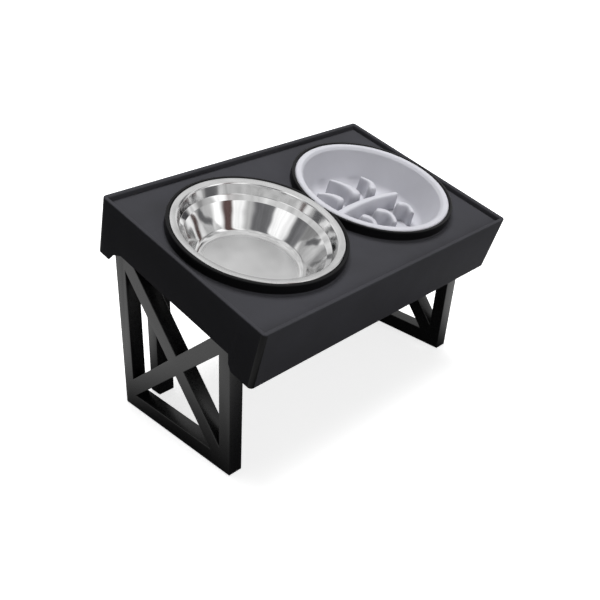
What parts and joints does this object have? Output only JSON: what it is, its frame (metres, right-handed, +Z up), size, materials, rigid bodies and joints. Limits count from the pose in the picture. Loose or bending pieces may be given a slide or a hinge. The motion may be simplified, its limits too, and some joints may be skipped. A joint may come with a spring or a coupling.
{
  "type": "dog feeder stand",
  "caption": "Raised dog feeder: a sloped tray on braced leg frames and rear posts that plug in, with a steel bowl and a slow feeder bowl that lift out.",
  "frame": {"origin": "on the floor, under the middle of the object's box", "axes": "+Z up, +X along the tray's long side, +Y towards the tray's raised back edge"},
  "size_m": [0.438, 0.2802, 0.2797],
  "materials": {
    "black_abs": "matte moulded",
    "black_silicone": "matte moulded",
    "black_rubber": "matte moulded",
    "screw_steel": "zinc plated",
    "stainless_steel": "polished",
    "grey_pp": "satin moulded"
  },
  "bodies": {
    "leg_left": {"leg_frame_left": "black_abs", "foot_pad_front_left": "black_rubber", "foot_pad_rear_left": "black_rubber"},
    "tray": {"tray_shell": "black_abs", "seat_ring_left": "black_silicone", "seat_ring_right": "black_silicone", "socket_front_left": "black_abs", "socket_rear_left": "black_abs", "socket_front_right": "black_abs", "socket_rear_right": "black_abs", "socket_screws": "screw_steel"},
    "leg_right": {"leg_frame_right": "black_abs", "foot_pad_front_right": "black_rubber", "foot_pad_rear_right": "black_rubber"},
    "post_left": {"rear_post_left": "black_abs", "post_tip_left": "black_rubber"},
    "post_right": {"rear_post_right": "black_abs", "post_tip_right": "black_rubber"},
    "steel_bowl": {"steel_bowl": "stainless_steel"},
    "feeder_bowl": {"feeder_bowl": "grey_pp"}
  },
  "joints": [
    {"name": "tray_lift", "type": "slide", "parent": "leg_left", "child": "tray", "axis": [0, 0, 1], "range_m": [0, 0.025]},
    {"name": "leg_right_pull", "type": "slide", "parent": "tray", "child": "leg_right", "axis": [0, 0, -1], "range_m": [0, 0.025]},
    {"name": "post_left_pull", "type": "slide", "parent": "tray", "child": "post_left", "axis": [0, 0, -1], "range_m": [0, 0.025]},
    {"name": "post_right_pull", "type": "slide", "parent": "tray", "child": "post_right", "axis": [0, 0, -1], "range_m": [0, 0.025]},
    {"name": "steel_bowl_lift", "type": "slide", "parent": "tray", "child": "steel_bowl", "axis": [0, -0.2419, 0.9703], "range_m": [0, 0.09]},
    {"name": "feeder_bowl_lift", "type": "slide", "parent": "tray", "child": "feeder_bowl", "axis": [0, -0.2419, 0.9703], "range_m": [0, 0.09]}
  ]
}
